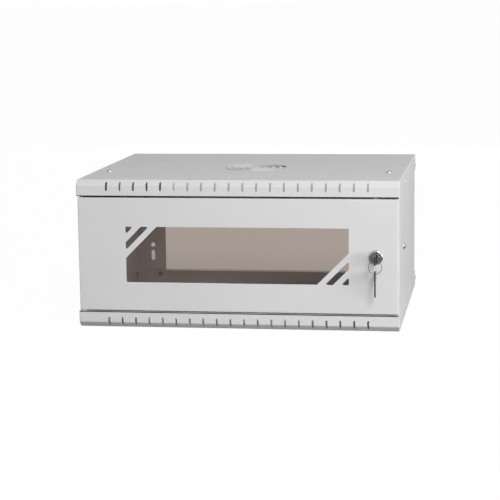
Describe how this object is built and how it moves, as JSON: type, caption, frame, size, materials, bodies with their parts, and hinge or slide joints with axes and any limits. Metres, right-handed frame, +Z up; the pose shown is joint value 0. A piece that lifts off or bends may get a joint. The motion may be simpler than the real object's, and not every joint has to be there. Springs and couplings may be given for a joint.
{
  "type": "wall mount network cabinet",
  "caption": "Low steel wall cabinet for 19-inch network equipment, with a vented folded lid and base, a hinged door with a smoked window, and a cam lock with keys.",
  "frame": {"origin": "middle of the cabinet's underside", "axes": "+X to the right seen from the front, +Y from the door towards the wall, +Z up"},
  "size_m": [0.5448, 0.48, 0.2536],
  "materials": {
    "powder_coat": "fine textured satin powder coat, light grey",
    "zinc_plate": "bright zinc plate",
    "dark_screw": "black oxide",
    "white_nylon": "matte",
    "clear_rubber": "translucent",
    "smoked_glass": "tinted and polished",
    "black_foam": "matte foam tape",
    "chrome_plate": "polished",
    "spring_steel": "drawn wire",
    "nickel_plate": "polished nickel"
  },
  "bodies": {
    "cabinet": {"top_cover": "powder_coat", "bottom_tray": "powder_coat", "left_side_panel": "powder_coat", "right_side_panel": "powder_coat", "left_mounting_rail": "zinc_plate", "right_mounting_rail": "zinc_plate", "top_rail_screws": "zinc_plate", "top_rail_nuts": "zinc_plate", "bottom_rail_screws": "zinc_plate", "side_panel_screws": "zinc_plate", "side_panel_nuts": "zinc_plate", "cover_flange_screws": "dark_screw", "cover_flange_nuts": "zinc_plate", "rear_corner_screws": "zinc_plate", "hinge_washer": "white_nylon", "door_buffer": "clear_rubber"},
    "door": {"door_panel": "powder_coat", "door_glass": "smoked_glass", "glazing_tape": "black_foam", "lower_hinge_pin": "zinc_plate", "upper_hinge_bracket": "powder_coat", "lock_body": "chrome_plate", "lock_nut": "zinc_plate"},
    "hinge_pin": {"upper_hinge_pin": "zinc_plate", "pin_collar": "zinc_plate", "pin_spring": "spring_steel"},
    "lock_plug": {"lock_plug": "chrome_plate", "lock_cam": "zinc_plate", "cam_screw": "zinc_plate"},
    "key": {"key_in_lock": "nickel_plate"},
    "key_ring": {"key_ring": "nickel_plate"},
    "spare_key": {"spare_key": "nickel_plate"}
  },
  "joints": [
    {"name": "door_swing", "type": "hinge", "parent": "cabinet", "child": "door", "pos_m": [-0.2623, -0.2175, 0.125], "axis": [0, 0, -1], "range_deg": [0, 180]},
    {"name": "upper_pin_slide", "type": "slide", "parent": "door", "child": "hinge_pin", "axis": [0, 0, -1], "range_m": [0, 0.006], "stiffness_N_per_m": 1200, "springref_m": -0.004, "deforming": ["pin_spring"]},
    {"name": "lock_turn", "type": "hinge", "parent": "door", "child": "lock_plug", "pos_m": [0.2315, -0.2157, 0.125], "axis": [0, 1, 0], "range_deg": [0, 90]},
    {"name": "key_pull", "type": "slide", "parent": "lock_plug", "child": "key", "axis": [0, -1, 0], "range_m": [0, 0.025]},
    {"name": "ring_swing", "type": "hinge", "parent": "key", "child": "key_ring", "pos_m": [0.2315, -0.244, 0.12234], "axis": [1, 0, 0], "range_deg": [-45, 8]},
    {"name": "spare_key_swing", "type": "hinge", "parent": "key_ring", "child": "spare_key", "pos_m": [0.2315, -0.244, 0.10034], "axis": [1, 0, 0], "range_deg": [-45, 5]}
  ]
}
